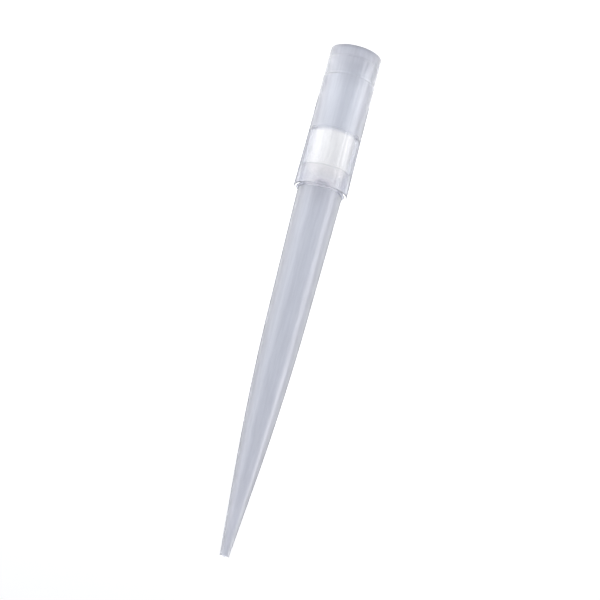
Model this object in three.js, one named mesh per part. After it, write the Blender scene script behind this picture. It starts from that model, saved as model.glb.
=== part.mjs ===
// A filtered pipette tip: one moulded translucent body with a socket for the pipette's nose
// cone, a skirt round the barrel and a long taper to the orifice, and a porous filter plug
// wedged in its bore. Millimetres, +Z up. The tip stands on its wide rim: the origin is the
// centre of the rim's face, and +Z runs along the axis to the orifice.
import * as THREE from 'three';

// ---- Lengths along the axis ----
const TIP_LENGTH = 86; // rim face to orifice face
const LEAD_IN_DEPTH = 1.95; // flared lead-in at the socket's mouth
const MOUTH_DEPTH = 4.85; // end of the wider mouth inside, and of the rim band outside
const FLARE_DEPTH = 13.35; // rim face to where the barrel starts to widen into the skirt
const SOCKET_DEPTH = 15.05; // rim face to the start of the filter's seat
const SEAT_LENGTH = 6.1; // tapered seat that holds the filter
const SKIRT_LENGTH = 24.65; // rim face to the skirt's free edge
const GAP_DEPTH = 3.5; // how far the gap between skirt and body reaches in
const STEP_RAMP = 0.35; // length of each small ramp between two diameters
const BEND_LENGTH = 26.4; // where the gentle upper cone turns into the steeper lower one

// ---- Bores, walls and steps across the axis ----
const SOCKET_BORE = 7.4; // diameter at the socket's inner end
const MOUTH_STEP = 0.07; // the mouth is wider than the socket by this radius
const LEAD_IN_FLARE = 0.1; // the lead-in opens by this radius
const RIM_WALL = 0.36; // width of the rim's face
const BAND_STEP = 0.06; // the barrel stands proud of the rim band by this radius
const SEAT_STEP = 0.18; // the filter's seat is narrower than the socket by this radius
const SEAT_LEDGE = 0.14; // ledge that stops the filter
const BODY_WALL = 0.505; // wall just below the filter
const GAP_ROOT = 0.13; // gap between skirt and body at its closed end
const GAP_MOUTH = 0.3; // the same gap at the skirt's free edge
const SKIRT_WALL = 0.45; // skirt's wall at its free edge
const ORIFICE_BORE = 0.75; // diameter of the orifice
const ORIFICE_WALL = 0.365; // wall at the orifice
const EDGE_ROUND = 0.1; // rounding of the moulded edges
const RIM_ROUND = 0.18; // rounding of the rim's outer edge

// ---- Tapers, degrees from the axis ----
const SOCKET_DRAFT = 0.3;
const SEAT_TAPER = 1.1;
const UPPER_TAPER = 1.14;
const LOWER_TAPER = 4.86;

// ---- Fit of the filter ----
const PLUG_CLEARANCE = 0.04; // all round and at both ends of its seat
const PLUG_EDGE = 0.13; // broken edge of the plug's two faces

// ---- Fineness ----
const SEGMENTS = 64; // round the axis
const BEND_STEPS = 10; // along the bend
const ROUND_STEPS = 3; // along a quarter round

const slope = (degrees) => Math.tan(THREE.MathUtils.degToRad(degrees));
const point = (radius, height) => new THREE.Vector2(radius, height);

// Stations and radii that follow from the sizes above.
const seatEnd = SOCKET_DEPTH + SEAT_LENGTH;
const socketRadius = SOCKET_BORE / 2;
const socketEnd = SOCKET_DEPTH - STEP_RAMP;
const innerMouthRadius = socketRadius + (socketEnd - MOUTH_DEPTH) * slope(SOCKET_DRAFT);
const mouthRadius = innerMouthRadius + MOUTH_STEP;
const leadInRadius = mouthRadius + LEAD_IN_FLARE;
const rimRadius = leadInRadius + RIM_WALL;
const seatStartRadius = socketRadius - SEAT_STEP;
const seatRadius = (height) => seatStartRadius - (height - SOCKET_DEPTH) * slope(SEAT_TAPER);
const seatEndRadius = seatRadius(seatEnd);
const chamberRadius = seatEndRadius - SEAT_LEDGE;
const tipRadius = ORIFICE_BORE / 2 + ORIFICE_WALL;

// Outside of the body: the upper cone starts from the wall below the filter, and the lower
// cone ends at the orifice.
const upperCone = (height) => chamberRadius + BODY_WALL - (height - seatEnd) * slope(UPPER_TAPER);
const lowerCone = (height) => tipRadius + (TIP_LENGTH - height) * slope(LOWER_TAPER);

// Height where the two cones would cross; the bend is centred there.
function crossingHeight() {
  const radiusApart = lowerCone(0) - upperCone(0);
  return radiusApart / (slope(LOWER_TAPER) - slope(UPPER_TAPER));
}

// The bend as one parabolic arc that leaves the upper cone and meets the lower one smoothly.
function bendPoints() {
  const middle = crossingHeight();
  const start = middle - BEND_LENGTH / 2;
  const end = middle + BEND_LENGTH / 2;
  const arc = new THREE.QuadraticBezierCurve(
    point(upperCone(start), start),
    point(upperCone(middle), middle),
    point(lowerCone(end), end),
  );
  return arc.getPoints(BEND_STEPS);
}

// The wall thins evenly from the filter to the orifice.
function wallAt(height) {
  const share = (height - seatEnd) / (TIP_LENGTH - seatEnd);
  return THREE.MathUtils.lerp(BODY_WALL, ORIFICE_WALL, share);
}

// A quarter round between two directions, given by its centre and its start and end angles.
function quarterRound(centre, radius, startDegrees, endDegrees) {
  const start = THREE.MathUtils.degToRad(startDegrees);
  const end = THREE.MathUtils.degToRad(endDegrees);
  const arc = new THREE.EllipseCurve(
    centre.x, centre.y, radius, radius, start, end, endDegrees < startDegrees,
  );
  return arc.getPoints(ROUND_STEPS);
}

// Barrel and skirt, from the rim's face along the outside to the skirt's edge and back up
// the skirt's inner face to the root of the gap.
function barrelOutline() {
  const barrelRadius = rimRadius + BAND_STEP;
  const rimRound = Math.min(RIM_ROUND, RIM_WALL / 2);
  const skirtRound = Math.min(EDGE_ROUND, SKIRT_WALL / 2);
  const skirtInner = upperCone(SKIRT_LENGTH) + GAP_MOUTH;
  const skirtOuter = skirtInner + SKIRT_WALL;
  const rootHeight = SKIRT_LENGTH - GAP_DEPTH;
  const bodyAtRoot = upperCone(rootHeight);
  const rootCentre = point(bodyAtRoot + GAP_ROOT / 2, rootHeight + GAP_ROOT / 2);
  return [
    ...quarterRound(point(rimRadius - rimRound, rimRound), rimRound, -90, 0),
    point(rimRadius, MOUTH_DEPTH),
    point(barrelRadius, MOUTH_DEPTH + STEP_RAMP),
    point(barrelRadius, FLARE_DEPTH),
    ...quarterRound(point(skirtOuter - skirtRound, SKIRT_LENGTH - skirtRound), skirtRound, 0, 90),
    ...quarterRound(point(skirtInner + skirtRound, SKIRT_LENGTH - skirtRound), skirtRound, 90, 180),
    ...quarterRound(rootCentre, GAP_ROOT / 2, 0, -90),
    ...quarterRound(rootCentre, GAP_ROOT / 2, -90, -180).slice(1),
  ];
}

// Outside of the long body, from the bend to the rounded small end.
function bodyOutline(bend) {
  const tipRound = Math.min(EDGE_ROUND, ORIFICE_WALL / 2);
  const tipCentre = point(tipRadius - tipRound, TIP_LENGTH - tipRound);
  return [
    ...bend,
    ...quarterRound(tipCentre, tipRound, 0, 90),
  ];
}

// Inside, from the orifice back to the rim: chamber, ledge, filter seat, socket and mouth.
function boreOutline(bend) {
  const innerBend = bend.map((outer) => point(outer.x - wallAt(outer.y), outer.y));
  return [
    point(ORIFICE_BORE / 2, TIP_LENGTH),
    ...innerBend.reverse(),
    point(chamberRadius, seatEnd),
    point(seatEndRadius, seatEnd),
    point(seatStartRadius, SOCKET_DEPTH),
    point(socketRadius, socketEnd),
    point(innerMouthRadius, MOUTH_DEPTH),
    point(mouthRadius, MOUTH_DEPTH - STEP_RAMP),
    point(mouthRadius, LEAD_IN_DEPTH),
    point(leadInRadius, 0),
  ];
}

// A lathe about +Z of an outline that runs up on the outside.
function turned(outline) {
  const geometry = new THREE.LatheGeometry(outline, SEGMENTS);
  geometry.rotateX(Math.PI / 2);
  return geometry;
}

function tipBody() {
  const bend = bendPoints();
  const outline = [...barrelOutline(), ...bodyOutline(bend), ...boreOutline(bend)];
  outline.push(outline[0].clone());
  const polypropylene = new THREE.MeshStandardMaterial({
    color: 0xc6cddd,
    roughness: 0.28,
    metalness: 0,
    transparent: true,
    opacity: 0.55,
  });
  const mesh = new THREE.Mesh(turned(outline), polypropylene);
  mesh.name = 'tip_body';
  return mesh;
}

function filterPlug() {
  const start = SOCKET_DEPTH + PLUG_CLEARANCE;
  const end = seatEnd - PLUG_CLEARANCE;
  const startRadius = seatRadius(start) - PLUG_CLEARANCE;
  const endRadius = seatRadius(end) - PLUG_CLEARANCE;
  const outline = [
    point(0, start),
    point(startRadius - PLUG_EDGE, start),
    point(startRadius, start + PLUG_EDGE),
    point(endRadius, end - PLUG_EDGE),
    point(endRadius - PLUG_EDGE, end),
    point(0, end),
  ];
  const sinteredPolyethylene = new THREE.MeshStandardMaterial({
    color: 0xf4f4f6,
    roughness: 0.9,
    metalness: 0,
  });
  const mesh = new THREE.Mesh(turned(outline), sinteredPolyethylene);
  mesh.name = 'filter_plug';
  return mesh;
}

const pipetteTip = new THREE.Group();
pipetteTip.name = 'pipette_tip';
pipetteTip.add(tipBody(), filterPlug());

export default pipetteTip;
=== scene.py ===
# %% [markdown]
# # A filtered pipette tip
#
# The object is a large laboratory pipette tip: one thin moulding of translucent
# polypropylene, open at both ends, with a white porous filter wedged inside it. The moulding
# has a wide barrel, a skirt that hangs round the barrel's lower part, and a long taper that
# ends in a fine orifice. It stands on its wide rim here, so +Z runs from the rim to the
# orifice.
#
# The sizes were settled first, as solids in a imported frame. This script loads that frame
# and makes the surfaces that are seen: rounder, with soft edges and with real materials.

# %% Load the frame and keep its size
import math

import bmesh
import bpy
from mathutils import Matrix, Quaternion, Vector, noise


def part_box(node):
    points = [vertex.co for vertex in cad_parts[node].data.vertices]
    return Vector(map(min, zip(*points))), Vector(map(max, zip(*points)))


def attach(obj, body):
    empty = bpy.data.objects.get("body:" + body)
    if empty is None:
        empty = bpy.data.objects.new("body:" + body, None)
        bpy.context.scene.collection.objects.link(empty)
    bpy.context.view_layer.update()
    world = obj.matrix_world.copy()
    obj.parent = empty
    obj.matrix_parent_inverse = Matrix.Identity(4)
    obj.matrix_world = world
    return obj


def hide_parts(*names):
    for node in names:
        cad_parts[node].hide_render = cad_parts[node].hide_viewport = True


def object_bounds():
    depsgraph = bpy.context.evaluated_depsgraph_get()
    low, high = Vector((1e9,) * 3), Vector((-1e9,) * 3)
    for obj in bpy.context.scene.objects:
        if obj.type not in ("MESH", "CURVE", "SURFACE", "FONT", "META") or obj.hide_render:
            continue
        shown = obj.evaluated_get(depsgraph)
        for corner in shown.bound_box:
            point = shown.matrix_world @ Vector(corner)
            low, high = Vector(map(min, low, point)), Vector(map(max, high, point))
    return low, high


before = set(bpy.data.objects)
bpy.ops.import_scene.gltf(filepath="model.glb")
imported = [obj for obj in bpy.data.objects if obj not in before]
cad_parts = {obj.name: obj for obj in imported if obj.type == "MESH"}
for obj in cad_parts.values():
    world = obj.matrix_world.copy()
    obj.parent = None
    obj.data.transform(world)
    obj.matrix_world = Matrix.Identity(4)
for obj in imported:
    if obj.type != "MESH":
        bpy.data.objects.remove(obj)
cad_low, cad_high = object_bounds()
MM = 0.001
print("nodes:", sorted(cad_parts))
print("size in mm:", [round(side / MM, 2) for side in cad_high - cad_low])

# %% [markdown]
# ## The camera
#
# The tip is seen from a little beyond its small end, so that one looks slightly up into the
# skirt, and its wide end is at the top of the view. The tip can stay where it stands if the
# camera is turned over instead: it looks down at the tip from above the horizon, and is then
# rolled by more than half a turn. A long lens far away keeps the sides of the barrel nearly
# parallel.

# %% Place the camera
ELEVATION = math.radians(14.2)
ROLL = math.radians(180 + 14.69)
DISTANCE = 307 * MM
LENS = 114.5
CLIP_NEAR, CLIP_FAR = 10 * MM, 20
# How far the view's centre lies from the middle of the tip, to its right and above it.
OFF_RIGHT, OFF_UP = 1.22 * MM, -0.46 * MM


def camera_axes(elevation, roll):
    """The camera's right, up and backward directions."""
    back = Vector((0, -math.cos(elevation), math.sin(elevation)))
    level_right = Vector((1, 0, 0))
    level_up = back.cross(level_right)
    right = level_right * math.cos(roll) + level_up * math.sin(roll)
    return right, back.cross(right), back


def place_camera():
    """A long lens that looks at the middle of the tip, rolled over."""
    right, up, back = camera_axes(ELEVATION, ROLL)
    aim = (cad_low + cad_high) / 2 + right * OFF_RIGHT + up * OFF_UP
    data = bpy.data.cameras.new("camera")
    data.lens = LENS
    data.clip_start, data.clip_end = CLIP_NEAR, CLIP_FAR
    camera = bpy.data.objects.new("camera", data)
    bpy.context.scene.collection.objects.link(camera)
    turn = Matrix((right, up, back)).transposed().to_4x4()
    camera.matrix_world = Matrix.Translation(aim + back * DISTANCE) @ turn
    bpy.context.scene.camera = camera
    return camera


camera = place_camera()
print("camera at", [round(value, 3) for value in camera.location])

# %% [markdown]
# ## Turned pieces
#
# Both pieces are round about the axis, so each is drawn as half a section and spun. The
# section is a flat outline: its corners are rounded with a vertex bevel while it is still
# flat, which is simpler than bevelling rings afterwards, and then it goes round in one full
# spin whose end is merged with its start.
#
# Smooth shading blends the directions of the faces that meet at a corner. A long side would
# then be shaded as if it were bent from end to end, and clear plastic shows that as dark
# wedges, because it sends the light the wrong way. So each long side gets a point close to
# both of its ends, and the blending stays beside the roundings.

# %% Helpers for a flat section
ROUND_STEPS = 4
LONG_SIDE = 0.6 * MM
HOLD = 0.06 * MM


def add_outline(bm, corners):
    """A flat closed outline in the XZ plane from (radius, height, rounding) corners."""
    loop = [bm.verts.new((radius, 0, height)) for radius, height, _ in corners]
    bm.faces.new(loop)
    by_size = {}
    for vert, (_, _, size) in zip(loop, corners):
        if size:
            by_size.setdefault(size, []).append(vert)
    return by_size


def round_corners(bm, by_size):
    """Rounds each group of corners of a flat outline by its own size."""
    for size, verts in by_size.items():
        bmesh.ops.bevel(
            bm, geom=verts, offset=size, offset_type="OFFSET", segments=ROUND_STEPS,
            profile=0.5, affect="VERTICES", material=-1,
        )


def hold_ends(bm):
    """Adds a point close to both ends of each long side of a flat outline."""
    for side in [edge for edge in bm.edges if edge.calc_length() > LONG_SIDE]:
        start, end = side.verts
        length = side.calc_length()
        _, held = bmesh.utils.edge_split(side, start, HOLD / length)
        rest = next(edge for edge in held.link_edges if end in edge.verts)
        bmesh.utils.edge_split(rest, end, HOLD / (length - HOLD))


print(f"roundings in {ROUND_STEPS} steps, long sides held {HOLD / MM:.2f} mm from their ends")

# %% Helpers for spinning a section
SPIN_STEPS = 160
MERGE_DISTANCE = 1e-4 * MM


def spin_round(bm):
    """Spins the outline's edges once round Z into a closed skin, without the flat face."""
    bmesh.ops.delete(bm, geom=list(bm.faces), context="FACES_ONLY")
    bmesh.ops.spin(
        bm, geom=list(bm.verts) + list(bm.edges), cent=(0, 0, 0), axis=(0, 0, 1),
        angle=math.tau, steps=SPIN_STEPS, use_merge=True, use_duplicate=False,
    )
    bmesh.ops.remove_doubles(bm, verts=bm.verts, dist=MERGE_DISTANCE)
    bmesh.ops.recalc_face_normals(bm, faces=bm.faces)


def add_object(bm, name):
    """Turns a finished bmesh into an object in the scene."""
    mesh = bpy.data.meshes.new(name)
    bm.to_mesh(mesh)
    bm.free()
    thing = bpy.data.objects.new(name, mesh)
    bpy.context.scene.collection.objects.link(thing)
    return thing


def add_piece(bm, name):
    """Turns a finished bmesh into a smooth-shaded piece of the one rigid body."""
    piece = add_object(bm, name)
    piece.data.shade_smooth()
    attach(piece, "root")
    return piece


def report_mesh(piece):
    """Prints how fine a piece is and whether its skin is closed."""
    check = bmesh.new()
    check.from_mesh(piece.data)
    open_edges = sum(not edge.is_manifold for edge in check.edges)
    volume = check.calc_volume(signed=True) / MM**3
    print(f"{piece.name}: {len(check.faces)} faces, {open_edges} open edges, {volume:.1f} mm3")
    check.free()


print(SPIN_STEPS, "steps round the axis")

# %% [markdown]
# ## The moulding
#
# On the real tip everything but the filter is one shot of plastic. From the rim the outside
# runs along a short band, a small step and the barrel down to the skirt's edge. There it
# turns back up into the narrow gap between the skirt and the body, and then follows the long
# body: a gentle cone, a smooth bend and a steeper cone. The inside has a flared lead-in, a
# wider mouth, the socket for the pipette's nose, the seat that grips the filter, a small
# ledge, and then runs parallel to the outside with a wall that thins towards the orifice.
#
# It could be stacked up from cones and tubes, but those leave seams where they meet, and a
# seam shows in clear plastic. One section with all its walls, spun once, has none.
#
# The places that the frame knows are read from it: the length, the skirt's radius and the
# filter's ends. The other sizes are named where they are first needed.

# %% Sizes from the frame
PLUG_CLEARANCE = 0.04 * MM
_, tip_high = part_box("tip_body")
plug_low, plug_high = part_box("filter_plug")
LENGTH = tip_high.z
SKIRT_RADIUS = tip_high.x
SEAT_START = plug_low.z - PLUG_CLEARANCE
SEAT_END = plug_high.z + PLUG_CLEARANCE
print(f"filter seat from {SEAT_START / MM:.2f} to {SEAT_END / MM:.2f} mm")

# %% Radii of the socket and the filter's seat
def slope(degrees):
    """How much a radius changes along the axis where a wall leans by this angle."""
    return math.tan(math.radians(degrees))


SOCKET_RADIUS = 3.7 * MM
SOCKET_SLOPE = slope(0.3)
SEAT_SLOPE = slope(1.1)
SEAT_STEP = 0.18 * MM
SEAT_LEDGE = 0.14 * MM
seat_start_radius = SOCKET_RADIUS - SEAT_STEP
seat_end_radius = seat_start_radius - (SEAT_END - SEAT_START) * SEAT_SLOPE
chamber_radius = seat_end_radius - SEAT_LEDGE
print(f"seat radii {seat_start_radius / MM:.3f} and {seat_end_radius / MM:.3f} mm")

# %% [markdown]
# ### The long body
#
# Its outside is two cones. The real one has no crease between them: a long bend leads from
# the gentle slope into the steeper one. A parabola does that with the slope changing evenly
# all the way, so the reflections run through it without a kink. The inside follows the same
# curve, less the wall, which thins evenly towards the orifice.

# %% The two cones
UPPER_SLOPE = slope(1.14)
LOWER_SLOPE = slope(4.86)
BODY_WALL = 0.505 * MM
ORIFICE_RADIUS = 0.375 * MM
ORIFICE_WALL = 0.365 * MM
tip_radius = ORIFICE_RADIUS + ORIFICE_WALL


def upper_cone(height):
    """The outer radius of the gentle cone, which starts beside the filter."""
    return chamber_radius + BODY_WALL - (height - SEAT_END) * UPPER_SLOPE


def lower_cone(height):
    """The outer radius of the steeper cone, which ends at the orifice."""
    return tip_radius + (LENGTH - height) * LOWER_SLOPE


def wall_at(height):
    """The wall thins evenly from the filter to the orifice."""
    share = (height - SEAT_END) / (LENGTH - SEAT_END)
    return BODY_WALL + (ORIFICE_WALL - BODY_WALL) * share


print(f"wall {wall_at(SEAT_END) / MM:.3f} mm below the filter")
print(f"wall {wall_at(LENGTH) / MM:.3f} mm at the orifice")

# %% The bend between the cones
BEND_LENGTH = 26.4 * MM
BEND_STEPS = 36
bend_middle = (lower_cone(0) - upper_cone(0)) / (LOWER_SLOPE - UPPER_SLOPE)
bend_start = bend_middle - BEND_LENGTH / 2


def bend_points():
    """(radius, height) along a parabola that leaves one cone and meets the other."""
    points = []
    for step in range(BEND_STEPS + 1):
        share = step / BEND_STEPS
        height = bend_start + BEND_LENGTH * share
        sag = (LOWER_SLOPE - UPPER_SLOPE) * BEND_LENGTH * share**2 / 2
        points.append((upper_cone(height) - sag, height))
    return points


bend = bend_points()
print(f"bend from {bend_start / MM:.1f} to {(bend_start + BEND_LENGTH) / MM:.1f} mm")

# %% [markdown]
# ### Rim, barrel and skirt
#
# Two low beads run round the outside, and two low ribs run round the inside of the mouth to
# seal on the pipette's nose. They are only a few hundredths of a millimetre high, but they
# are what catches the light there, so they are real geometry. Every edge has a small
# rounding too, because no moulded edge is perfectly sharp.

# %% Sizes of the rim and the socket's mouth
LEAD_IN_DEPTH = 1.95 * MM
LEAD_IN_FLARE = 0.1 * MM
MOUTH_DEPTH = 4.85 * MM
MOUTH_STEP = 0.07 * MM
STEP_RAMP = 0.35 * MM
RIM_WALL = 0.36 * MM
socket_end = SEAT_START - STEP_RAMP
socket_mouth = SOCKET_RADIUS + (socket_end - MOUTH_DEPTH) * SOCKET_SLOPE
mouth_radius = socket_mouth + MOUTH_STEP
lead_in_radius = mouth_radius + LEAD_IN_FLARE
rim_radius = lead_in_radius + RIM_WALL
print(f"rim {2 * rim_radius / MM:.2f} mm across, mouth {2 * lead_in_radius / MM:.2f} mm")

# %% The outside, corner by corner
BAND_STEP = 0.06 * MM
FLARE_DEPTH = 13.35 * MM
SKIRT_LENGTH = 24.65 * MM
GAP_DEPTH = 3.5 * MM
GAP_ROOT = 0.13 * MM
GAP_MOUTH = 0.3 * MM
BEAD_HEIGHT = 0.04 * MM
BEAD_WIDTH = 0.34 * MM
RIM_ROUND = 0.18 * MM
EDGE_ROUND = 0.1 * MM
FINE_ROUND = 0.05 * MM


def outside_corners():
    """(radius, height, rounding) from the rim's face to the small end."""
    barrel = rim_radius + BAND_STEP
    band_end = MOUTH_DEPTH + STEP_RAMP
    root = SKIRT_LENGTH - GAP_DEPTH
    corners = [
        (rim_radius, 0, RIM_ROUND),
        (rim_radius, LEAD_IN_DEPTH - BEAD_WIDTH / 2, FINE_ROUND),
        (rim_radius + BEAD_HEIGHT, LEAD_IN_DEPTH, FINE_ROUND),
        (rim_radius, LEAD_IN_DEPTH + BEAD_WIDTH / 2, FINE_ROUND),
        (rim_radius, MOUTH_DEPTH, FINE_ROUND),
        (barrel + BEAD_HEIGHT, band_end, FINE_ROUND),
        (barrel, band_end + BEAD_WIDTH / 2, FINE_ROUND),
        (barrel, FLARE_DEPTH, 0),
        (SKIRT_RADIUS, SKIRT_LENGTH, EDGE_ROUND),
        (upper_cone(SKIRT_LENGTH) + GAP_MOUTH, SKIRT_LENGTH, FINE_ROUND),
        (upper_cone(root) + GAP_ROOT, root, FINE_ROUND),
        (upper_cone(root), root, FINE_ROUND),
    ]
    corners += [(radius, height, 0) for radius, height in bend]
    return corners + [(tip_radius, LENGTH, EDGE_ROUND)]


print(len(outside_corners()), "corners outside")

# %% The inside, corner by corner
RIB_HEIGHT = 0.07 * MM
RIB_WIDTH = 0.3 * MM
RIB_ROUND = 0.06 * MM


def inside_corners():
    """(radius, height, rounding) from the orifice back to the rim's face."""
    corners = [(ORIFICE_RADIUS, LENGTH, FINE_ROUND)]
    corners += [(radius - wall_at(height), height, 0) for radius, height in reversed(bend)]
    return corners + [
        (chamber_radius, SEAT_END, FINE_ROUND),
        (seat_end_radius, SEAT_END, FINE_ROUND),
        (seat_start_radius, SEAT_START, FINE_ROUND),
        (SOCKET_RADIUS, socket_end, FINE_ROUND),
        (socket_mouth, MOUTH_DEPTH + RIB_WIDTH, 0),
        (socket_mouth - RIB_HEIGHT, MOUTH_DEPTH + RIB_WIDTH / 2, RIB_ROUND),
        (mouth_radius, MOUTH_DEPTH - STEP_RAMP, FINE_ROUND),
        (mouth_radius, LEAD_IN_DEPTH + RIB_WIDTH, 0),
        (mouth_radius - RIB_HEIGHT, LEAD_IN_DEPTH + RIB_WIDTH / 2, RIB_ROUND),
        (mouth_radius, LEAD_IN_DEPTH, FINE_ROUND),
        (lead_in_radius, 0, FINE_ROUND),
    ]


print(len(inside_corners()), "corners inside")


# %% Spin the moulding
def make_moulding():
    """The whole moulding from one section, standing for the frame's plain body."""
    bm = bmesh.new()
    by_size = add_outline(bm, outside_corners() + inside_corners())
    round_corners(bm, by_size)
    hold_ends(bm)
    spin_round(bm)
    piece = add_piece(bm, "moulded_body")
    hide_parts("tip_body")
    return piece


moulding = make_moulding()
report_mesh(moulding)

# %% [markdown]
# ## The filter
#
# The filter is a plug of small polyethylene beads, sintered until they stick, and slightly
# conical like its seat. A turned plug would look too perfect, and pressing the beads in one
# by one would take millions of faces. So it is spun from its own section, with rings close
# enough together to carry a faint unevenness from a noise pattern, and the material adds
# what is finer. The dents only go inwards, so the plug never reaches through the wall that
# it sits in.

# %% The filter's section
PLUG_EDGE = 0.15 * MM
END_RINGS = 14
SIDE_RINGS = 26
NEARLY_ZERO = 1e-9
plug_start_radius = seat_start_radius - PLUG_CLEARANCE * (1 + SEAT_SLOPE)
plug_end_radius = seat_end_radius - PLUG_CLEARANCE * (1 - SEAT_SLOPE)
print(f"plug radii {plug_start_radius / MM:.3f} and {plug_end_radius / MM:.3f} mm")


def rise(edge):
    """How much of the height an edge of the section covers."""
    return abs(edge.verts[0].co.z - edge.verts[1].co.z)


def add_plug_section(bm):
    """The open section of a solid plug, cut finely along its ends and its side."""
    corners = [
        (0, plug_low.z, 0),
        (plug_start_radius, plug_low.z, PLUG_EDGE),
        (plug_end_radius, plug_high.z, PLUG_EDGE),
        (0, plug_high.z, 0),
    ]
    round_corners(bm, add_outline(bm, corners))
    bmesh.ops.delete(bm, geom=list(bm.faces), context="FACES_ONLY")
    on_axis = [edge for edge in bm.edges if all(vert.co.x < NEARLY_ZERO for vert in edge.verts)]
    bmesh.ops.delete(bm, geom=on_axis, context="EDGES")
    ends = [edge for edge in bm.edges if rise(edge) < NEARLY_ZERO]
    side = max(bm.edges, key=rise)
    bmesh.ops.subdivide_edges(bm, edges=ends, cuts=END_RINGS)
    bmesh.ops.subdivide_edges(bm, edges=[side], cuts=SIDE_RINGS)


# %% Spin the filter and dent it
DENT_DEPTH = 0.025 * MM
DENT_SIZE = 0.35 * MM


def make_plug():
    """The filter with its uneven skin, standing for the frame's plain plug."""
    bm = bmesh.new()
    add_plug_section(bm)
    spin_round(bm)
    for vert in bm.verts:
        # The noise runs from -1 to 1. From 0 to 1, it dents the skin and never raises it.
        dent = noise.noise(vert.co / DENT_SIZE) * 0.5 + 0.5
        vert.co -= vert.normal * dent * DENT_DEPTH
    piece = add_piece(bm, "porous_plug")
    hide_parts("filter_plug")
    return piece


plug = make_plug()
report_mesh(plug)

# %% [markdown]
# ## Helpers for the materials
#
# A material in Blender is a small graph of nodes. Three things come back in both plastics:
# adding a node with its settings, mixing two colours, and turning a slowly changing number
# into a mask. Writing them once keeps the two materials short enough to read.

# %% Helpers for node trees
def new_material(name):
    """A material with its tree and its Principled shader."""
    material = bpy.data.materials.new(name)
    material.use_nodes = True
    tree = material.node_tree
    return material, tree, tree.nodes["Principled BSDF"]


def add_node(tree, kind, **settings):
    """A node of one kind with its settings."""
    node = tree.nodes.new(kind)
    for key, value in settings.items():
        setattr(node, key, value)
    return node


def mix_colors(tree, factor, first, second, blend="MIX"):
    """A colour mix whose factor and colours may be sockets or plain values."""
    node = add_node(tree, "ShaderNodeMix", data_type="RGBA", blend_type=blend)
    for name, value in (("Factor", factor), ("A", first), ("B", second)):
        socket = next(entry for entry in node.inputs if entry.name == name and entry.enabled)
        if isinstance(value, bpy.types.NodeSocket):
            tree.links.new(value, socket)
        else:
            socket.default_value = value
    return next(entry for entry in node.outputs if entry.enabled)


def smooth_range(tree, value, low, high):
    """0 below low, 1 above high, smooth between them."""
    node = add_node(tree, "ShaderNodeMapRange", interpolation_type="SMOOTHSTEP")
    tree.links.new(value, node.inputs["Value"])
    node.inputs["From Min"].default_value = low
    node.inputs["From Max"].default_value = high
    return node.outputs["Result"]


def grey(value):
    """The colour whose three channels are one value."""
    return (value, value, value, 1)


print("node helpers ready")

# %% [markdown]
# ## The grain that both plastics share
#
# Neither plastic is quite even. In the moulding the melt ran from one end to the other and
# left faint lengthwise streaks; in the filter the beads leave a fine, even grain. Both are
# one noise pattern whose cells are stretched along the axis by different amounts, so the
# pattern is built once, as a node group with its sizes as inputs, and each material places
# it with its own values. The group reads places on the object itself, so the pattern stays
# put when the object or the camera turns.

# %% Build the grain group
GRAIN_DETAIL = 3


def grain_group():
    """Noise with cells of a given size across and along the axis, from 0 to 1."""
    group = bpy.data.node_groups.new("grain", "ShaderNodeTree")
    sockets = group.interface
    sockets.new_socket("Place", in_out="INPUT", socket_type="NodeSocketVector")
    sockets.new_socket("Across", in_out="INPUT", socket_type="NodeSocketFloat")
    sockets.new_socket("Along", in_out="INPUT", socket_type="NodeSocketFloat")
    sockets.new_socket("Grain", in_out="OUTPUT", socket_type="NodeSocketFloat")
    start = add_node(group, "NodeGroupInput")
    end = add_node(group, "NodeGroupOutput")
    cell = add_node(group, "ShaderNodeCombineXYZ")
    for axis, name in (("X", "Across"), ("Y", "Across"), ("Z", "Along")):
        group.links.new(start.outputs[name], cell.inputs[axis])
    scaled = add_node(group, "ShaderNodeVectorMath", operation="DIVIDE")
    group.links.new(start.outputs["Place"], scaled.inputs[0])
    group.links.new(cell.outputs["Vector"], scaled.inputs[1])
    pattern = add_node(group, "ShaderNodeTexNoise")
    pattern.inputs["Scale"].default_value = 1
    pattern.inputs["Detail"].default_value = GRAIN_DETAIL
    group.links.new(scaled.outputs["Vector"], pattern.inputs["Vector"])
    group.links.new(pattern.outputs["Fac"], end.inputs["Grain"])
    return group


GRAIN = grain_group()
print("group", GRAIN.name, "has", len(GRAIN.nodes), "nodes")


# %% Place the grain in a material
def add_grain(tree, place, across, along):
    """The shared grain in one material, with that material's own sizes."""
    node = add_node(tree, "ShaderNodeGroup", node_tree=GRAIN)
    tree.links.new(place, node.inputs["Place"])
    node.inputs["Across"].default_value = across
    node.inputs["Along"].default_value = along
    return node.outputs["Grain"]


def add_bump(tree, shader, height, depth_and_painted_shade):
    """Lets a 0 to 1 height press the surface in and out by a depth."""
    bump = add_node(tree, "ShaderNodeBump")
    bump.inputs["Distance"].default_value = depth_and_painted_shade
    tree.links.new(height, bump.inputs["Height"])
    tree.links.new(bump.outputs["Normal"], shader.inputs["Normal"])


print("grain and bump helpers ready")
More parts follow.
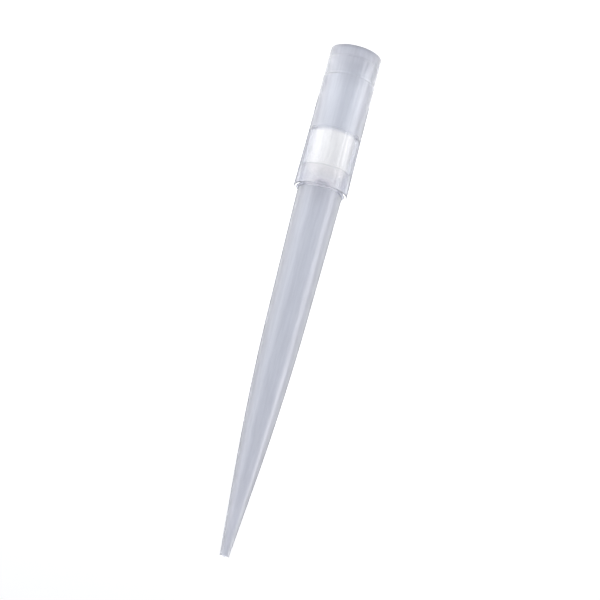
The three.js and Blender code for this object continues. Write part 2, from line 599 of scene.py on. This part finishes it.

# %% [markdown]
# ## Translucent polypropylene
#
# Natural polypropylene is neither glass nor paint. It lets most of the light through, blurs
# it, and takes a little of it away, so that a thin wall looks pale grey-blue against white.
# One Principled shader does all of that: a high Transmission Weight for the light that goes
# through, the small rest as milky diffuse plastic, Roughness for the blur, and a coat for
# the sharper gloss of the moulded skin.
#
# How much light a place takes away depends on how thick and how matt the mould left it, and
# that changes only along the axis. So each property is a colour ramp along Z. Some tints in
# these ramps are painted light and shade, and are named so. A stop is written as a feature of
# the moulding, a distance in millimetres past it, and the value there, so the bands follow the
# shape when a size changes.

# %% A value that changes along the axis
def along_axis(tree, height, stops):
    """A colour ramp along Z from (feature, millimetres past it, colour) stops."""
    places = [(feature + past * MM, color) for feature, past, color in stops]
    reach = places[-1][0]
    share = add_node(tree, "ShaderNodeMapRange")
    tree.links.new(height, share.inputs["Value"])
    share.inputs["From Max"].default_value = reach
    ramp = add_node(tree, "ShaderNodeValToRGB")
    tree.links.new(share.outputs["Result"], ramp.inputs["Fac"])
    points = ramp.color_ramp.elements
    while len(points) < len(places):
        points.new(1)
    for point, (place, color) in zip(points, places):
        point.position = place / reach
        point.color = color
    return ramp.outputs["Color"]


print("ramp helper ready")

# %% [markdown]
# ### Tints where the wall is seen face on
#
# From the rim on: a painted shade line where the rim's rounding bends the light away, a
# greyish lip, the clearer barrel, a painted shade line at the shoulder in front of the filter,
# and then a nearly clear seat and skirt, where a second wall lies behind the first and too much
# tint would add up. At the skirt's free edge the tint is nearly white, which partly paints the
# light line there. The long body has nearly the same tint as the barrel and pales towards its
# end, where the wall is thinnest.

# %% Tints seen face on
# Painted shade: a dark line just inside the rim's face.
RIM_PAINTED_SHADE_LINE = (0.43, 0.44, 0.50, 1)
LIP_TINT = (0.552, 0.567, 0.630, 1)
BARREL_TINT = (0.668, 0.688, 0.741, 1)
# Painted shade: a dark line at the shoulder in front of the filter.
SHOULDER_PAINTED_SHADE = (0.59, 0.60, 0.66, 1)
SEAT_TINT = (0.965, 0.965, 0.97, 1)
SEAT_END_TINT = (0.94, 0.94, 0.945, 1)
# Nearly white at the skirt's free edge: clear plastic, and partly a painted light line.
CLEAR_PAINTED_LIGHT_LINE = (0.97, 0.97, 0.98, 1)
SKIRT_TINT = (0.90, 0.895, 0.905, 1)
SKIRT_END_TINT = (0.85, 0.85, 0.88, 1)
BODY_TINT = (0.655, 0.672, 0.726, 1)
END_TINT = (0.70, 0.712, 0.762, 1)
PALE_FROM, PALE_TO = 60 * MM, 78 * MM
FACE_STOPS = (
    (0, 0, RIM_PAINTED_SHADE_LINE),
    (0, 0.45, RIM_PAINTED_SHADE_LINE),
    (0, 0.6, LIP_TINT),
    (LEAD_IN_DEPTH, 0.5, LIP_TINT),
    (MOUTH_DEPTH, -0.45, BARREL_TINT),
    (SEAT_START, -0.55, BARREL_TINT),
    (SEAT_START, -0.35, SHOULDER_PAINTED_SHADE),
    (SEAT_START, -0.05, SHOULDER_PAINTED_SHADE),
    (SEAT_START, 0.1, SEAT_TINT),
    (SEAT_END, -0.75, SEAT_END_TINT),
    (SEAT_END, 1.05, SKIRT_TINT),
    (SKIRT_LENGTH, -1.35, SKIRT_END_TINT),
    (SKIRT_LENGTH, -0.15, SKIRT_END_TINT),
    (SKIRT_LENGTH, -0.09, CLEAR_PAINTED_LIGHT_LINE),
    (SKIRT_LENGTH, 0.01, CLEAR_PAINTED_LIGHT_LINE),
    (SKIRT_LENGTH, 0.07, BODY_TINT),
    (PALE_FROM, 0, BODY_TINT),
    (PALE_TO, 0, END_TINT),
    (LENGTH, 0, END_TINT),
)
print(len(FACE_STOPS), "stops face on")

# %% [markdown]
# ### Tints where the wall is seen edge on
#
# Near its outline a round wall is seen edge on. At the rim the edge tint is lighter than the
# face, a painted highlight on its rounding, and at the lip it is a painted glow; the two small
# outside beads get pale painted highlights as streaks. Beside the filter and along the skirt
# the plastic is so clear that it would be lost against white, so its edges get a much darker
# and bluer tint than its face: painted shade for the light that the wall bends away there. At
# the skirt's free edge the tint is nearly white, partly a painted light line. The barrel and
# the long body look about the same both ways.

# %% Tints seen edge on
# Painted highlight at the rim's rounding and painted glow along the lip's outline.
RIM_PAINTED_HIGHLIGHT = (0.78, 0.79, 0.83, 1)
LIP_PAINTED_GLOW = (0.68, 0.69, 0.74, 1)
# Painted highlights: pale streaks where the two outside beads are seen edge on.
BEAD_PAINTED_HIGHLIGHT = (0.85, 0.86, 0.88, 1)
BAND_EDGE = (0.60, 0.61, 0.67, 1)
BARREL_EDGE = (0.665, 0.672, 0.73, 1)
# Painted shade: darker, bluer outlines beside the filter and along the skirt.
SEAT_PAINTED_EDGE_SHADE = (0.53, 0.545, 0.62, 1)
SEAT_END_PAINTED_EDGE_SHADE = (0.46, 0.48, 0.56, 1)
SKIRT_PAINTED_EDGE_SHADE = (0.67, 0.69, 0.775, 1)
BODY_EDGE = (0.69, 0.698, 0.745, 1)
EDGE_FROM, EDGE_TO = 0.19, 0.5
EDGE_STOPS = (
    (0, 0, RIM_PAINTED_HIGHLIGHT),
    (0, 0.15, RIM_PAINTED_HIGHLIGHT),
    (0, 0.3, LIP_PAINTED_GLOW),
    (LEAD_IN_DEPTH, -0.05, LIP_PAINTED_GLOW),
    (LEAD_IN_DEPTH, 0.03, BEAD_PAINTED_HIGHLIGHT),
    (LEAD_IN_DEPTH, 0.13, BEAD_PAINTED_HIGHLIGHT),
    (LEAD_IN_DEPTH, 0.25, LIP_PAINTED_GLOW),
    (MOUTH_DEPTH, 0.3, LIP_PAINTED_GLOW),
    (MOUTH_DEPTH, 0.4, BEAD_PAINTED_HIGHLIGHT),
    (MOUTH_DEPTH, 0.55, BEAD_PAINTED_HIGHLIGHT),
    (MOUTH_DEPTH, 0.65, BAND_EDGE),
    (MOUTH_DEPTH, 1.2, BAND_EDGE),
    (MOUTH_DEPTH, 4, BARREL_EDGE),
    (SEAT_START, -0.35, BARREL_EDGE),
    (SEAT_START, 0.05, SEAT_PAINTED_EDGE_SHADE),
    (SEAT_START, 1.15, SEAT_PAINTED_EDGE_SHADE),
    (SEAT_END, -2.15, SEAT_END_PAINTED_EDGE_SHADE),
    (SEAT_END, 1.05, SKIRT_PAINTED_EDGE_SHADE),
    (SKIRT_LENGTH, -0.06, SKIRT_PAINTED_EDGE_SHADE),
    (SKIRT_LENGTH, -0.01, CLEAR_PAINTED_LIGHT_LINE),
    (SKIRT_LENGTH, 0.01, CLEAR_PAINTED_LIGHT_LINE),
    (SKIRT_LENGTH, 0.15, BODY_EDGE),
    (PALE_FROM, 0, BODY_EDGE),
    (PALE_TO, 0, END_TINT),
    (LENGTH, 0, END_TINT),
)
print(len(EDGE_STOPS), "stops edge on")

# %% [markdown]
# ### Painted shade at the lip and by the skirt's edge
#
# At the lip and on both sides of the skirt's free edge, where one looks squarely through the
# most walls at once, a painted shade darkens the plastic a little more: in the gap above the
# edge, and as the skirt's shadow on the body below it. This factor multiplies the tints only
# where the surface is nearly square to the view.

# %% Painted shade where the view is square
# Painted shade at the lip, in the gap above the skirt's edge and on the body below it.
NO_PAINTED_SHADE = grey(1)
LIP_PAINTED_SHADE = (0.87, 0.87, 0.88, 1)
SKIRT_PAINTED_SHADE = (0.87, 0.87, 0.89, 1)
GAP_PAINTED_SHADE = (0.60, 0.60, 0.66, 1)
PAINTED_SHADE_FROM, PAINTED_SHADE_TO = 0.03, 0.10
PAINTED_SHADE_STOPS = (
    (0, 0, LIP_PAINTED_SHADE),
    (LEAD_IN_DEPTH, 0.7, LIP_PAINTED_SHADE),
    (LEAD_IN_DEPTH, 1.65, NO_PAINTED_SHADE),
    (SKIRT_LENGTH, -1.05, NO_PAINTED_SHADE),
    (SKIRT_LENGTH, -0.55, SKIRT_PAINTED_SHADE),
    (SKIRT_LENGTH, -0.35, GAP_PAINTED_SHADE),
    (SKIRT_LENGTH, -0.1, GAP_PAINTED_SHADE),
    (SKIRT_LENGTH, -0.05, NO_PAINTED_SHADE),
    (SKIRT_LENGTH, 0.03, NO_PAINTED_SHADE),
    (SKIRT_LENGTH, 0.09, SKIRT_PAINTED_SHADE),
    (SKIRT_LENGTH, 2.35, NO_PAINTED_SHADE),
)
print(len(PAINTED_SHADE_STOPS), "stops of depth")

# %% [markdown]
# ### Haze and gloss
#
# The mould is polished where the filter has to seat and fine-ground elsewhere. So the seat
# and the skirt are nearly clear and their skin is quiet, while the socket and the long body
# are clouded under a glossier skin.

# %% Haze and gloss along the axis
CLOUDED, SOFTER, CLEARER = grey(0.3), grey(0.2), grey(0.1)
GLOSSY, QUIET = grey(1), grey(0.35)
SKIN_ROUGHNESS = 0.12
HAZE_STOPS = (
    (0, 0, CLOUDED),
    (SEAT_START, -0.45, CLOUDED),
    (SEAT_START, -0.15, CLEARER),
    (SEAT_END, -1.15, CLEARER),
    (SEAT_END, -0.25, SOFTER),
    (SEAT_END, 0.45, SOFTER),
    (SEAT_END, 1.35, CLEARER),
    (SKIRT_LENGTH, 0, CLEARER),
    (SKIRT_LENGTH, 0.35, CLOUDED),
    (SKIRT_LENGTH, 2.35, CLOUDED),
)
GLOSS_STOPS = (
    (0, 0, GLOSSY),
    (SEAT_START, -0.15, GLOSSY),
    (SEAT_START, 0.15, QUIET),
    (SKIRT_LENGTH, -0.15, QUIET),
    (SKIRT_LENGTH, 0.15, GLOSSY),
    (SKIRT_LENGTH, 2.35, GLOSSY),
)
print(len(HAZE_STOPS), "stops of haze and", len(GLOSS_STOPS), "of gloss")

# %% [markdown]
# ### Flow streaks
#
# The streaks of the melt are the shared grain, drawn out along the axis. They change the
# tint by a few per cent and the surface by a few thousandths of a millimetre.

# %% Flow streaks of the melt
FLOW_ACROSS, FLOW_ALONG = 0.35 * MM, 6 * MM
FLOW_FROM, FLOW_TO = 0.38, 0.62
FLOW_DARK, FLOW_LIGHT = (0.95, 0.95, 0.955, 1), (1.03, 1.03, 1.025, 1)
FLOW_DEPTH = 0.004 * MM


def moulded_tint(tree, height, flow):
    """The plastic's tint from all its ramps, painted light and shade among them, and the flow
    streaks.
    """
    facing = add_node(tree, "ShaderNodeLayerWeight").outputs["Facing"]
    edge = smooth_range(tree, facing, EDGE_FROM, EDGE_TO)
    square = smooth_range(tree, facing, PAINTED_SHADE_FROM, PAINTED_SHADE_TO)
    face_tint = along_axis(tree, height, FACE_STOPS)
    edge_tint = along_axis(tree, height, EDGE_STOPS)
    # Painted shade where the view is square, multiplied into the tint.
    depth_and_painted_shade = mix_colors(tree, square, along_axis(tree, height, PAINTED_SHADE_STOPS), NO_PAINTED_SHADE)
    streak = smooth_range(tree, flow, FLOW_FROM, FLOW_TO)
    shade = mix_colors(tree, streak, FLOW_DARK, FLOW_LIGHT)
    color = mix_colors(tree, edge, face_tint, edge_tint)
    color = mix_colors(tree, 1, color, depth_and_painted_shade, "MULTIPLY")
    return mix_colors(tree, 1, color, shade, "MULTIPLY")


print(f"streaks {FLOW_ACROSS / MM:.2f} mm wide and {FLOW_ALONG / MM:.0f} mm long")

# %% [markdown]
# ### Light through the wall
#
# A renderer treats a refracting wall as solid when it works out shadows, and the filter
# would sit in the dark. Real light comes through the wall, so for shadow rays alone the
# plastic is swapped for a nearly clear transparent shader.

# %% Put the polypropylene together
MILKY = 0.15
PLASTIC_IOR = 1.49
LAMP_PASS = 0.97


def polypropylene():
    """Tinted and clouded along the axis, streaked, and clear to the lamps."""
    material, tree, shader = new_material("translucent_polypropylene")
    place = add_node(tree, "ShaderNodeTexCoord").outputs["Object"]
    split = add_node(tree, "ShaderNodeSeparateXYZ")
    tree.links.new(place, split.inputs["Vector"])
    height = split.outputs["Z"]
    flow = add_grain(tree, place, FLOW_ACROSS, FLOW_ALONG)
    tint = moulded_tint(tree, height, flow)
    tree.links.new(tint, shader.inputs["Base Color"])
    tree.links.new(along_axis(tree, height, HAZE_STOPS), shader.inputs["Roughness"])
    tree.links.new(along_axis(tree, height, GLOSS_STOPS), shader.inputs["Coat Weight"])
    add_bump(tree, shader, flow, FLOW_DEPTH)
    shader.inputs["Transmission Weight"].default_value = 1 - MILKY
    shader.inputs["IOR"].default_value = PLASTIC_IOR
    shader.inputs["Coat Roughness"].default_value = SKIN_ROUGHNESS
    clear = add_node(tree, "ShaderNodeBsdfTransparent")
    clear.inputs["Color"].default_value = grey(LAMP_PASS)
    light_path = add_node(tree, "ShaderNodeLightPath")
    swap = add_node(tree, "ShaderNodeMixShader")
    tree.links.new(light_path.outputs["Is Shadow Ray"], swap.inputs[0])
    tree.links.new(shader.outputs["BSDF"], swap.inputs[1])
    tree.links.new(clear.outputs["BSDF"], swap.inputs[2])
    tree.links.new(swap.outputs[0], tree.nodes["Material Output"].inputs["Surface"])
    return material


moulding.data.materials.append(polypropylene())
print("moulding wears", moulding.data.materials[0].name)

# %% [markdown]
# ## Sintered polyethylene
#
# The filter is a warm white, quite matt, and grainy rather than smooth. The pores between
# the beads get a painted shade that is only a little darker, because light finds its way out
# of them. The grain's cells are about as large as the beads, and the same pattern presses the
# surface in.

# %% The filter's material
BEAD_TINT = (0.89, 0.89, 0.895, 1)
# Painted shade in the pores between the beads.
PORE_PAINTED_SHADE = (0.83, 0.83, 0.835, 1)
PORE_FROM, PORE_TO = 0.35, 0.55
BEAD_SIZE = 0.25 * MM
BEAD_DEPTH = 0.02 * MM
BEAD_ROUGHNESS = 0.9


def sintered_polyethylene():
    """Matt beads with a slightly darker painted shade in the pores between them."""
    material, tree, shader = new_material("sintered_polyethylene")
    place = add_node(tree, "ShaderNodeTexCoord").outputs["Object"]
    beads = add_grain(tree, place, BEAD_SIZE, BEAD_SIZE)
    solid = smooth_range(tree, beads, PORE_FROM, PORE_TO)
    tint = mix_colors(tree, solid, PORE_PAINTED_SHADE, BEAD_TINT)
    tree.links.new(tint, shader.inputs["Base Color"])
    add_bump(tree, shader, beads, BEAD_DEPTH)
    shader.inputs["Roughness"].default_value = BEAD_ROUGHNESS
    return material


plug.data.materials.append(sintered_polyethylene())
print("plug wears", plug.data.materials[0].name)

# %% [markdown]
# ## The floor
#
# The tip stands on a plain pale floor that shows as clean white. A floor bright enough for
# that would throw too much light up into the plastic. So the lamps light it to a plain level,
# where it keeps the tip's shadow, and a little glow is added only for the rays that look at
# it: straight from the camera, by reflection, or through the plastic.

# %% Make the floor
FLOOR_HALF = 10
FLOOR_TINT = grey(0.82)
FLOOR_GLOW = 0.5
SEEN_BY = ("Is Camera Ray", "Is Glossy Ray", "Is Transmission Ray")


def floor_material():
    """Matt and pale, with a glow that only rays which look at it see."""
    material, tree, shader = new_material("pale_floor")
    shader.inputs["Base Color"].default_value = FLOOR_TINT
    shader.inputs["Roughness"].default_value = 1
    shader.inputs["Specular IOR Level"].default_value = 0
    shader.inputs["Emission Color"].default_value = grey(1)
    light_path = add_node(tree, "ShaderNodeLightPath")
    seen = light_path.outputs[SEEN_BY[0]]
    for name in SEEN_BY[1:]:
        either = add_node(tree, "ShaderNodeMath", operation="MAXIMUM")
        tree.links.new(seen, either.inputs[0])
        tree.links.new(light_path.outputs[name], either.inputs[1])
        seen = either.outputs[0]
    glow = add_node(tree, "ShaderNodeMath", operation="MULTIPLY")
    tree.links.new(seen, glow.inputs[0])
    glow.inputs[1].default_value = FLOOR_GLOW
    tree.links.new(glow.outputs[0], shader.inputs["Emission Strength"])
    return material


def make_floor():
    """A wide square at the level that the tip stands on."""
    bm = bmesh.new()
    bmesh.ops.create_grid(bm, x_segments=1, y_segments=1, size=FLOOR_HALF)
    floor = add_object(bm, "floor")
    floor.data.materials.append(floor_material())


make_floor()
print("floor", 2 * FLOOR_HALF, "m wide")

# %% [markdown]
# ## Lights
#
# A glossy round piece is drawn by what it reflects. Seen from above the horizon, the long
# body reflects things that stand beside it, and the barrel, which is near the floor,
# reflects things that lie on the floor. So the stripe of light that runs down the tip's side
# needs both: a tall panel beside the tip and, in line with it, strips that lie at its foot
# and face up. The strips widen with distance, so that each looks equally wide from the tip.
# The camera doesn't see any of them.

# %% Helpers for lights
def area_light(name, place, size, power):
    """A soft rectangular light that the camera doesn't see. It still has to be turned."""
    data = bpy.data.lights.new(name, "AREA")
    data.shape = "RECTANGLE"
    data.size, data.size_y = size
    data.energy = power
    light = bpy.data.objects.new(name, data)
    bpy.context.scene.collection.objects.link(light)
    light.location = place
    light.visible_camera = False
    return light


def aim_at(light, target):
    """Turns a light so that it shines towards a place."""
    light.rotation_mode = "QUATERNION"
    light.rotation_quaternion = (Vector(target) - light.location).to_track_quat("-Z", "Y")


def beside(angle, distance):
    """A place on the floor; the angle turns from the camera's side towards -X."""
    turn = math.radians(angle)
    return -math.sin(turn) * distance, -math.cos(turn) * distance


def glow_power(glow, width, length):
    """The power that makes a panel of this size look as bright as glow."""
    return glow * math.pi * width * length


print(f"a glow of 1 takes {glow_power(1, 1, 1):.2f} W for each square metre")

# %% [markdown]
# ### Tall panels
#
# One panel stands to the right of the view and leans a little outwards, because the stripe
# moves outwards as the body narrows; a second one on top of it makes up for the narrower
# stripe there. A wide, fainter panel stands to the left. A far panel behind the tip is seen
# only by what faces up, such as the skirt's free edge, and lights the light line there,
# together with the nearly white tint painted along that edge.

# %% Tall panels
PANEL_DISTANCE = 70 * MM
PANEL_TOP = 110 * MM
LIGHT_FOOT = 0.2 * MM
# name: (angle, width, foot, glow, lean)
TALL_PANELS = {
    "panel_right": (78, 38 * MM, LIGHT_FOOT, 1.5, 13),
    "panel_right_high": (80, 38 * MM, 45 * MM, 0.6, 13),
    "panel_left": (-68, 75 * MM, LIGHT_FOOT, 0.77, 0),
}
BACK_DISTANCE = 400 * MM
BACK_WIDTH = 60 * MM
BACK_FOOT, BACK_TOP = 100 * MM, 170 * MM
BACK_GLOW = 4.2


def tall_panel(name, angle, width, foot, glow, lean):
    """A standing panel that faces the tip's axis."""
    x, y = beside(angle, PANEL_DISTANCE)
    length = PANEL_TOP - foot
    middle = foot + length / 2
    power = glow_power(glow, width, length)
    light = area_light(name, (x, y, middle), (width, length), power)
    aim_at(light, (0, 0, middle))
    light.rotation_quaternion @= Quaternion((0, 0, 1), math.radians(lean))


def back_panel():
    """A far panel behind the tip, above every line of sight through it."""
    middle = (BACK_FOOT + BACK_TOP) / 2
    size = (BACK_WIDTH, BACK_TOP - BACK_FOOT)
    place = (0, BACK_DISTANCE, middle)
    light = area_light("panel_back", place, size, glow_power(BACK_GLOW, *size))
    aim_at(light, (0, 0, middle))


for panel, values in TALL_PANELS.items():
    tall_panel(panel, *values)
back_panel()
print(len(TALL_PANELS) + 1, "panels")

# %% [markdown]
# ### Strips on the floor
#
# Each strip is a row of rectangles that grow with distance. They start a few millimetres
# from the rim: any nearer, and the rim's own wall would show them as white spots.

# %% Strips on the floor
STEPS = (8 * MM, 12 * MM, 20 * MM, 38 * MM, 70 * MM)
NEAR_STEPS = (7 * MM, *STEPS[1:])
# name: (angle, width for each unit of distance, glow, steps)
FLOOR_STRIPS = {
    "strip_right": (69, 0.24, 1.8, STEPS),
    "strip_left": (-72, 0.55, 1.2, NEAR_STEPS),
    "strip_left_front": (-55, 0.70, 0.65, NEAR_STEPS),
    "strip_thin": (43, 0.05, 2.6, STEPS),
}


def floor_strip(name, angle, spread, glow, steps):
    """Rectangles that lie on the floor in a line away from the tip and face up."""
    for count, (start, end) in enumerate(zip(steps, steps[1:])):
        x, y = beside(angle, (start + end) / 2)
        size = (spread * (start + end), end - start)
        power = glow_power(glow, *size)
        light = area_light(f"{name}_{count}", (x, y, LIGHT_FOOT), size, power)
        light.rotation_euler = (math.pi, 0, -math.radians(angle))


for strip, values in FLOOR_STRIPS.items():
    floor_strip(strip, *values)
print(len(FLOOR_STRIPS), "strips")

# %% [markdown]
# ### Overhead light and surroundings
#
# A large soft lamp above and in front lights the filter and the floor and gives the tip its
# faint shadow. The surroundings are a plain cool grey. They light everything softly, and
# where the plastic reflects or bends light from above the floor, their grey gives it its
# darker tones.

# %% Overhead light and surroundings
OVERHEAD_POWER = 6
OVERHEAD_SIZE = (1, 1)
OVERHEAD_PLACE = (0.45, -0.8, 1.0)
SURROUNDINGS = (0.56, 0.57, 0.60, 1)

overhead = area_light("overhead", OVERHEAD_PLACE, OVERHEAD_SIZE, OVERHEAD_POWER)
aim_at(overhead, (0, 0, LENGTH / 2))
world = bpy.data.worlds.new("studio")
world.use_nodes = True
world.node_tree.nodes["Background"].inputs["Color"].default_value = SURROUNDINGS
bpy.context.scene.world = world
bpy.context.scene.view_settings.view_transform = "Standard"
print("surroundings", SURROUNDINGS[:3])

# %% [markdown]
# ### Dark cards for the edges
#
# Clear things on white lose their edges. A common studio answer is a dark card behind the
# object on each side, just out of view: the outermost part of a round wall bends the light
# from there, and so gets a thin darker outline, while the middle hardly changes. A tint for
# the edges alone can't do this, because it also darkens the wall's far side. Here the cards
# are hidden from the camera and cast no shadow, so they show in the plastic alone.

# %% Dark cards
CARD_DISTANCE = 25 * MM
CARD_WIDTH = 7 * MM
CARD_TOP = 84 * MM
CARD_ANGLES = {"card_right": 152, "card_left": -152}
CARD_TINT = (0.09, 0.10, 0.16, 1)
# Half the side of the unit square that each card is scaled from.
UNIT_HALF = 0.5


def card_material():
    """A dull dark blue-grey."""
    material, _, shader = new_material("dark_card")
    shader.inputs["Base Color"].default_value = CARD_TINT
    shader.inputs["Roughness"].default_value = 1
    return material


def dark_card(name, angle, material):
    """A card that stands on the floor, faces the axis and shows only in the plastic."""
    x, y = beside(angle, CARD_DISTANCE)
    height = CARD_TOP - LIGHT_FOOT
    bm = bmesh.new()
    bmesh.ops.create_grid(bm, x_segments=1, y_segments=1, size=UNIT_HALF)
    bmesh.ops.scale(bm, verts=bm.verts, vec=(CARD_WIDTH, height, 1))
    turn = Matrix.Rotation(-math.radians(angle), 4, "Z") @ Matrix.Rotation(math.pi / 2, 4, "X")
    place = Matrix.Translation((x, y, LIGHT_FOOT + height / 2)) @ turn
    bmesh.ops.transform(bm, matrix=place, verts=bm.verts)
    card = add_object(bm, name)
    card.data.materials.append(material)
    card.visible_camera = card.visible_diffuse = card.visible_shadow = False


card_finish = card_material()
for card, angle in CARD_ANGLES.items():
    dark_card(card, angle, card_finish)
print(len(CARD_ANGLES), "cards")
